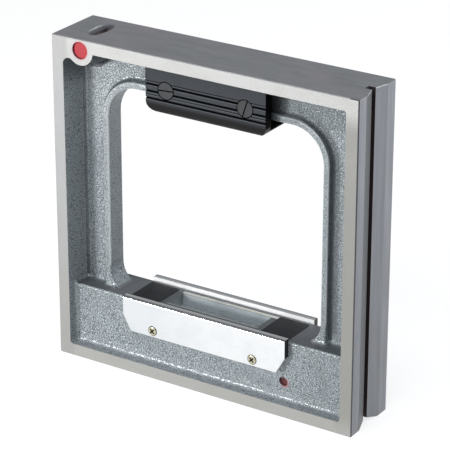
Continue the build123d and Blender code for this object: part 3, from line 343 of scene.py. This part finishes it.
# ---------------------------------------------------------------- small materials
def chrome_material():
    mat, tree, bsdf, _ = new_material("polished_plate_look")
    net = Net(tree)
    place = net.place()
    haze = net.noise(place, 55.0, 3.0, 0.6)
    wipe = net.noise(net.scaled(place, (0.06, 1.0, 1.0)), 900.0, 2.0, 0.5)
    tint = net.mix(net.ramp(haze, 0.35, 0.7), (0.885, 0.900, 0.910), (0.82, 0.845, 0.865))
    x, y, z = net.split(place)
    ax = net.math("ABSOLUTE", x)
    ay = net.math("ABSOLUTE", y)
    # painted reflection: faint streaks across the plates
    reflection_streak = net.noise(net.scaled(place, (0.35, 1.0, 1.6)), 42.0, 4.0, 0.55, 0.6)
    tint = net.mix(net.math("MULTIPLY", net.ramp(reflection_streak, 0.48, 0.72), 0.5), tint, (0.74, 0.775, 0.80))
    # painted reflection: the plates are darker towards the left
    tint = net.mix(net.math("MULTIPLY", net.ramp(x, -0.055, 0.020, 1.0, 0.0), 0.55), tint, (0.70, 0.735, 0.765))
    # sawn ends that are rougher and painted dark as shade, painted light and shade on the top edge (darker towards
    # the front with a dark line near it, darker on the rear plate), and an unpolished inner face
    top_edge = net.math("MULTIPLY", net.ramp(z, 0.04712, 0.04718), net.ramp(ay, 0.0178, 0.0180, 1.0, 0.0))
    near_line = net.math("MULTIPLY", net.ramp(y, -0.0178, -0.0174), net.ramp(y, -0.0170, -0.0166, 1.0, 0.0))
    shade = net.mix(net.ramp(y, -0.0170, -0.0140), (0.80, 0.82, 0.84), (1.0, 1.0, 1.0))
    shade = net.mix(near_line, shade, (0.10, 0.105, 0.115))
    shade = net.mix(net.ramp(y, 0.0140, 0.0178), shade, (0.62, 0.64, 0.66))
    tint = net.mix(top_edge, tint, shade)
    end = net.ramp(ax, 0.05518, 0.05526)
    tint = net.mix(end, tint, (0.055, 0.058, 0.062))
    inner = net.ramp(ay, 0.01403, 0.01409, 1.0, 0.0)
    tint = net.mix(inner, tint, (0.98, 0.985, 0.99))
    net.put(bsdf.inputs["Base Color"], tint)
    net.put(bsdf.inputs["Metallic"], net.blend(inner, 1.0, 0.60))
    dull = net.math("MAXIMUM", inner, end)
    net.put(bsdf.inputs["Roughness"], net.blend(dull, net.ramp(wipe, 0.3, 0.8, 0.045, 0.12), 0.5))
    net.put(bsdf.inputs["Normal"], net.bump(haze, 0.05, 0.0002))
    return mat


def screw_material(name, light, dark, metallic, low, high):
    mat, tree, bsdf, _ = new_material(name)
    net = Net(tree)
    place = net.place()
    grain = net.noise(place, 1500.0, 3.0, 0.6)
    broad = net.noise(place, 330.0, 2.0, 0.5)
    shade = net.mix(net.ramp(grain, 0.3, 0.7), light, dark)
    shade = net.mix(net.math("MULTIPLY", net.ramp(broad, 0.4, 0.7), 0.5), shade, dark)
    net.put(bsdf.inputs["Base Color"], shade)
    bsdf.inputs["Metallic"].default_value = metallic
    net.put(bsdf.inputs["Roughness"], net.ramp(broad, 0.3, 0.7, low, high))
    net.put(bsdf.inputs["Normal"], net.bump(grain, 0.08, 0.00005))
    return mat


def cover_screw_material():
    mat, tree, bsdf, _ = new_material("plated_screw_look")
    net = Net(tree)
    place = net.place()
    x, y, z = net.split(place)
    ay = net.math("ABSOLUTE", y)
    dx = net.math("SUBTRACT", net.math("ABSOLUTE", x), 0.034)
    dz = net.math("SUBTRACT", z, 0.0302)
    far = net.math("SQRT", net.math("ADD", net.math("MULTIPLY", dx, dx), net.math("MULTIPLY", dz, dz)))
    grain = net.noise(place, 1500.0, 3.0, 0.6)
    shade = net.mix(net.ramp(grain, 0.3, 0.7), (0.66, 0.64, 0.50), (0.42, 0.39, 0.27))
    # painted shade: the edge of the head and the cross recess are darkened
    rim = net.ramp(far, 0.00235, 0.00290)
    shade = net.mix(net.math("MULTIPLY", rim, 0.75), shade, (0.12, 0.11, 0.07))
    recess = net.math("MULTIPLY", net.ramp(far, 0.0019, 0.0020, 1.0, 0.0), net.ramp(ay, 0.01914, 0.01918, 1.0, 0.0))
    shade = net.mix(recess, shade, (0.012, 0.010, 0.006))
    net.put(bsdf.inputs["Base Color"], shade)
    net.put(bsdf.inputs["Metallic"], net.blend(recess, 1.0, 0.2))
    net.put(bsdf.inputs["Roughness"], net.blend(recess, net.ramp(grain, 0.3, 0.7, 0.18, 0.32), 0.7))
    net.put(bsdf.inputs["Normal"], net.bump(grain, 0.08, 0.00005))
    return mat


def grip_material():
    mat, tree, bsdf, _ = new_material("black_grip_look")
    net = Net(tree)
    place = net.place()
    x, y, z = net.split(place)
    ax = net.math("ABSOLUTE", x)
    ay = net.math("ABSOLUTE", y)
    grain = net.noise(place, 1500.0, 4.0, 0.65)
    broad = net.noise(place, 90.0, 3.0, 0.5)
    shade = net.mix(net.ramp(grain, 0.35, 0.65), (0.034, 0.040, 0.048), (0.022, 0.026, 0.032))
    shade = net.mix(net.math("MULTIPLY", net.ramp(broad, 0.45, 0.75), 0.3), shade, (0.020, 0.023, 0.028))
    # painted shade: the lower part of the grip is much darker
    low = net.ramp(z, 0.1685, 0.1722, 1.0, 0.0)
    shade = net.mix(low, shade, (0.0085, 0.0085, 0.0095))
    # painted shade in the grooves, on the step line and on the ends, with painted highlights along the groove lips
    cut = net.ramp(ay, 0.01446, 0.01454, 1.0, 0.0)
    groove = None
    for middle, half in ((0.1806, 0.00076), (0.1765, 0.00076), (0.1723, 0.00076), (0.1745, 0.00026)):
        band = net.ramp(net.math("ABSOLUTE", net.math("SUBTRACT", z, middle)), half, half + 0.00008, 1.0, 0.0)
        groove = band if groove is None else net.math("MAXIMUM", groove, band)
    groove = net.math("MULTIPLY", groove, cut)
    lip = None
    for middle in (0.1820, 0.1797, 0.1756, 0.1714, 0.1741):
        band = net.ramp(net.math("ABSOLUTE", net.math("SUBTRACT", z, middle)), 0.00012, 0.00034, 1.0, 0.0)
        lip = band if lip is None else net.math("MAXIMUM", lip, band)
    shade = net.mix(net.math("MULTIPLY", lip, 0.55), shade, (0.11, 0.12, 0.14))
    step_line = net.ramp(net.math("ABSOLUTE", net.math("SUBTRACT", z, 0.1824)), 0.0002, 0.0004, 1.0, 0.0)
    groove = net.math("MAXIMUM", groove, net.math("MULTIPLY", step_line, 0.8))
    ends = net.ramp(ax, 0.0390, 0.0394)
    dark = net.math("MAXIMUM", groove, ends)
    shade = net.mix(dark, shade, (0.0022, 0.0022, 0.0026))
    net.put(bsdf.inputs["Base Color"], shade)
    level = net.blend(low, 0.22, 0.14)
    net.put(bsdf.inputs["Specular IOR Level"], net.blend(dark, level, 0.04))
    net.put(bsdf.inputs["Roughness"], net.blend(dark, net.ramp(broad, 0.3, 0.7, 0.40, 0.52), 0.7))
    net.put(bsdf.inputs["Normal"], net.bump(grain, 0.3, 0.00006))
    return mat


def grip_screw_material():
    mat, tree, bsdf, _ = new_material("black_screw_look")
    net = Net(tree)
    place = net.place()
    x, y, z = net.split(place)
    ay = net.math("ABSOLUTE", y)
    dx = net.math("SUBTRACT", net.math("ABSOLUTE", x), 0.026)
    dz = net.math("SUBTRACT", z, 0.1784)
    far = net.math("SQRT", net.math("ADD", net.math("MULTIPLY", dx, dx), net.math("MULTIPLY", dz, dz)))
    grain = net.noise(place, 1500.0, 3.0, 0.6)
    turned = net.noise(net.join(far, 0.0, 0.0), 5200.0, 1.0, 0.4)
    shade = net.mix(net.ramp(grain, 0.3, 0.7), (0.046, 0.050, 0.054), (0.030, 0.033, 0.036))
    shade = net.mix(net.math("MULTIPLY", net.ramp(turned, 0.4, 0.7), 0.3), shade, (0.028, 0.030, 0.033))
    # painted shade in the slot and around the edge of the head
    cut = net.math("MAXIMUM", net.ramp(ay, 0.01440, 0.01448, 1.0, 0.0), net.ramp(far, 0.00478, 0.00492))
    shade = net.mix(cut, shade, (0.003, 0.003, 0.003))
    net.put(bsdf.inputs["Base Color"], shade)
    net.put(bsdf.inputs["Metallic"], net.blend(cut, 0.35, 0.0))
    net.put(bsdf.inputs["Roughness"], net.blend(cut, 0.46, 0.75))
    net.put(bsdf.inputs["Specular IOR Level"], net.blend(cut, 0.3, 0.03))
    net.put(bsdf.inputs["Normal"], net.bump(grain, 0.08, 0.00005))
    return mat


def satin_material(name, light, dark, low, high, grain_scale, strength=0.25, metallic=0.0, specular=0.5):
    mat, tree, bsdf, _ = new_material(name)
    net = Net(tree)
    place = net.place()
    grain = net.noise(place, grain_scale, 4.0, 0.65)
    broad = net.noise(place, 90.0, 3.0, 0.5)
    shade = net.mix(net.ramp(grain, 0.35, 0.65), light, dark)
    shade = net.mix(net.math("MULTIPLY", net.ramp(broad, 0.45, 0.75), 0.3), shade, dark)
    net.put(bsdf.inputs["Base Color"], shade)
    bsdf.inputs["Metallic"].default_value = metallic
    bsdf.inputs["Specular IOR Level"].default_value = specular
    net.put(bsdf.inputs["Roughness"], net.ramp(broad, 0.3, 0.7, low, high))
    net.put(bsdf.inputs["Normal"], net.bump(grain, strength, 0.00006))
    return mat


def hood_material():
    mat, tree, bsdf, _ = new_material("hood_metal_look")
    net = Net(tree)
    place = net.place()
    x, y, z = net.split(place)
    grain = net.noise(place, 1100.0, 4.0, 0.65)
    broad = net.noise(place, 90.0, 3.0, 0.5)
    top = net.ramp(z, 0.04485, 0.04495)
    # painted light and shade: the inner walls take a lighter copy of the hood metal and the top a darker one
    wall = net.mix(net.ramp(grain, 0.35, 0.65), (0.33, 0.375, 0.40), (0.26, 0.30, 0.325))
    flat = net.mix(net.ramp(grain, 0.35, 0.65), (0.165, 0.180, 0.190), (0.125, 0.139, 0.149))
    # a pale line of dried sealant runs along the rear margin
    strip = net.math("MULTIPLY", net.ramp(y, 0.0079, 0.0081), net.ramp(x, -0.0312, -0.0306))
    flat = net.mix(strip, flat, (0.74, 0.745, 0.70))
    seams = net.math("MAXIMUM", net.ramp(net.math("ABSOLUTE", net.math("SUBTRACT", y, 0.0078)), 0.0001, 0.0003, 1.0, 0.0), net.ramp(y, 0.0106, 0.0107))
    flat = net.mix(net.math("MULTIPLY", seams, 0.85), flat, (0.05, 0.052, 0.055))
    # painted highlight along the front edge of the opening
    front_lip = net.math("MULTIPLY", net.ramp(net.math("ABSOLUTE", net.math("ADD", y, 0.0080)), 0.00015, 0.00035, 1.0, 0.0), net.ramp(net.math("ABSOLUTE", x), 0.0305, 0.0308, 1.0, 0.0))
    flat = net.mix(net.math("MULTIPLY", front_lip, 0.8), flat, (0.70, 0.72, 0.73))
    # painted shade on the left end wall
    left_wall = net.ramp(x, -0.0305, -0.0288, 1.0, 0.0)
    wall = net.mix(net.math("MULTIPLY", left_wall, 0.9), wall, (0.105, 0.118, 0.128))
    shade = net.mix(top, wall, flat)
    shade = net.mix(net.math("MULTIPLY", net.ramp(broad, 0.45, 0.75), 0.25), shade, (0.15, 0.165, 0.18))
    net.put(bsdf.inputs["Base Color"], shade)
    net.put(bsdf.inputs["Metallic"], net.blend(top, 0.15, 0.45))
    net.put(bsdf.inputs["Roughness"], net.ramp(broad, 0.3, 0.7, 0.54, 0.66))
    net.put(bsdf.inputs["Normal"], net.bump(grain, 0.12, 0.00006))
    return mat


def clear_material(name, tint, ior, rough_low, rough_high, sheen_film=0.0):
    mat, tree, bsdf, out = new_material(name)
    net = Net(tree)
    place = net.place()
    haze = net.noise(place, 180.0, 3.0, 0.55)
    bsdf.inputs["Base Color"].default_value = (*tint, 1.0)
    bsdf.inputs["Transmission Weight"].default_value = 1.0
    bsdf.inputs["IOR"].default_value = ior
    net.put(bsdf.inputs["Roughness"], net.ramp(haze, 0.3, 0.8, rough_low, rough_high))
    path = net.node("ShaderNodeLightPath")
    clear = net.node("ShaderNodeBsdfTransparent")
    clear.inputs["Color"].default_value = (*[0.5 + 0.5 * v for v in tint], 1.0)
    mixed = net.node("ShaderNodeMixShader")
    net.put(mixed.inputs[0], path.outputs["Is Shadow Ray"])
    surface = bsdf.outputs[0]
    # the film mixes in a pale diffuse layer: dust on the glass and a painted sheen
    if sheen_film > 0.0:
        dust_and_sheen = net.node("ShaderNodeBsdfDiffuse")
        dust_and_sheen.inputs["Color"].default_value = (0.66, 0.72, 0.75, 1.0)
        sheen_veil = net.node("ShaderNodeMixShader")
        net.put(sheen_veil.inputs[0], net.ramp(haze, 0.25, 0.75, sheen_film * 0.8, sheen_film * 1.2))
        net.put(sheen_veil.inputs[1], surface)
        net.put(sheen_veil.inputs[2], dust_and_sheen.outputs[0])
        surface = sheen_veil.outputs[0]
    net.put(mixed.inputs[1], surface)
    net.put(mixed.inputs[2], clear.outputs[0])
    net.put(out.inputs["Surface"], mixed.outputs[0])
    return mat


give(casting_material(), "frame_casting")
give(chrome_material(), "cover_plate_front", "cover_plate_rear")
give(cover_screw_material(), "cover_screws_front", "cover_screws_rear")
give(
    satin_material("black_block_look", (0.024, 0.025, 0.029), (0.017, 0.018, 0.021), 0.54, 0.66, 1300.0, 0.25, 0.0, 0.32),
    "end_block_left",
    "end_block_right",
)
give(hood_material(), "reading_hood")
give(clear_material("window_glass_look", (0.93, 0.96, 0.95), 1.5, 0.0, 0.04, 0.30), "window_glass")
give(clear_material("vial_glass_look", (0.95, 0.97, 0.95), 1.5, 0.0, 0.03), "main_vial", "cross_vial")
give(clear_material("spirit_look", (0.83, 0.90, 0.72), 1.36, 0.0, 0.02), "main_spirit", "cross_spirit")
give(clear_material("bubble_look", (0.98, 0.99, 0.99), 1.05, 0.0, 0.02), "main_bubble", "cross_bubble")
give(
    screw_material("carrier_steel_look", (0.50, 0.50, 0.50), (0.36, 0.36, 0.37), 1.0, 0.30, 0.48),
    "vial_carrier",
    "pivot_screw",
    "pivot_washer",
    "adjusting_screw",
    "adjusting_spring",
    "lateral_screw",
    "lateral_spring",
)
give(satin_material("plaster_look", (0.84, 0.82, 0.77), (0.74, 0.72, 0.67), 0.75, 0.9, 900.0, 0.4), "vial_seats")
give(
    satin_material("red_lacquer_look", (0.110, 0.007, 0.012), (0.045, 0.004, 0.007), 0.14, 0.28, 700.0, 0.5),
    "lacquer_seal",
)
give(
    screw_material("sleeve_brass_look", (0.42, 0.34, 0.35), (0.30, 0.24, 0.25), 0.5, 0.42, 0.55),
    "cross_sleeve",
)
give(
    satin_material("red_enamel_look", (0.47, 0.022, 0.034), (0.35, 0.014, 0.024), 0.34, 0.48, 1500.0, 0.3, 0.0, 0.4),
    "cross_plug_front",
    "cross_plug_rear",
)
give(grip_material(), "grip_front", "grip_rear")
give(grip_screw_material(), "grip_screws", "grip_nuts")


# ---------------------------------------------------------------- camera
AZIMUTH, ELEVATION, ROLL = 32.736, 23.342, 0.067
DISTANCE, TARGET = 1.344349, Vector((0.003886, 0.0, 0.099299))
a, e, r = (math.radians(v) for v in (AZIMUTH, ELEVATION, ROLL))
back = Vector((math.sin(a) * math.cos(e), -math.cos(a) * math.cos(e), math.sin(e)))
right = (-back).cross(Vector((0, 0, 1))).normalized()
up = right.cross(-back)
side = right * math.cos(r) + up * math.sin(r)
tall = up * math.cos(r) - right * math.sin(r)
eye = TARGET + back * DISTANCE
lens = bpy.data.cameras.new("camera")
lens.sensor_width = 36.0
lens.lens = 2374.849 / 450.0 * 36.0
lens.clip_start = 0.01
lens.clip_end = 50.0
camera = bpy.data.objects.new("camera", lens)
bpy.context.collection.objects.link(camera)
turn = Matrix((side, tall, back)).transposed().to_4x4()
camera.matrix_world = Matrix.Translation(eye) @ turn
bpy.context.scene.camera = camera


# ---------------------------------------------------------------- floor, world and lamps
def stage_floor():
    mesh = bpy.data.meshes.new("floor")
    half = 6.0
    mesh.from_pydata([(-half, -half, 0), (half, -half, 0), (half, half, 0), (-half, half, 0)], [], [(0, 1, 2, 3)])
    floor = bpy.data.objects.new("floor", mesh)
    bpy.context.collection.objects.link(floor)
    mat, tree, bsdf, out = new_material("floor_look")
    net = Net(tree)
    path = net.node("ShaderNodeLightPath")
    seen = net.math("MAXIMUM", path.outputs["Is Camera Ray"], net.math("MAXIMUM", path.outputs["Is Glossy Ray"], path.outputs["Is Transmission Ray"]))
    bsdf.inputs["Base Color"].default_value = (0.50, 0.50, 0.50, 1.0)
    bsdf.inputs["Roughness"].default_value = 0.9
    bsdf.inputs["Specular IOR Level"].default_value = 0.0
    glow = net.node("ShaderNodeEmission")
    glow.inputs["Color"].default_value = (1.0, 1.0, 1.0, 1.0)
    net.put(glow.inputs["Strength"], net.math("MULTIPLY", seen, 0.69))
    both = net.node("ShaderNodeAddShader")
    net.put(both.inputs[0], bsdf.outputs[0])
    net.put(both.inputs[1], glow.outputs[0])
    net.put(out.inputs["Surface"], both.outputs[0])
    mesh.materials.append(mat)


def world_light():
    world = bpy.data.worlds.new("studio")
    bpy.context.scene.world = world
    world.use_nodes = True
    tree = world.node_tree
    tree.nodes.clear()
    net = Net(tree)
    out = net.node("ShaderNodeOutputWorld")
    room = net.node("ShaderNodeBackground")
    room.inputs["Color"].default_value = (0.94, 0.97, 1.0, 1.0)
    room.inputs["Strength"].default_value = 0.34
    net.put(out.inputs["Surface"], room.outputs[0])


def area_lamp(name, place, aim, width, height, watts, colour=(1.0, 1.0, 1.0)):
    data = bpy.data.lights.new(name, "AREA")
    data.shape = "RECTANGLE"
    data.size = width
    data.size_y = height
    data.energy = watts
    data.color = colour
    lamp = bpy.data.objects.new(name, data)
    bpy.context.collection.objects.link(lamp)
    way = (Vector(aim) - Vector(place)).to_track_quat("-Z", "Y")
    lamp.matrix_world = Matrix.Translation(Vector(place)) @ way.to_matrix().to_4x4()
    return lamp


stage_floor()
world_light()
area_lamp("key", (-0.65, -1.126, 0.24), (0, 0, 0.1), 0.24, 0.24, 11.5, (1.0, 0.99, 0.975))
area_lamp("fill", (0.09, -1.0, 0.95), (0, 0, 0.1), 1.1, 0.8, 7.5)
area_lamp("rear", (0.9, 0.95, 0.65), (0, 0, 0.1), 0.9, 0.9, 8.0, (0.95, 0.97, 1.0))

scene = bpy.context.scene
scene.view_settings.view_transform = "Standard"
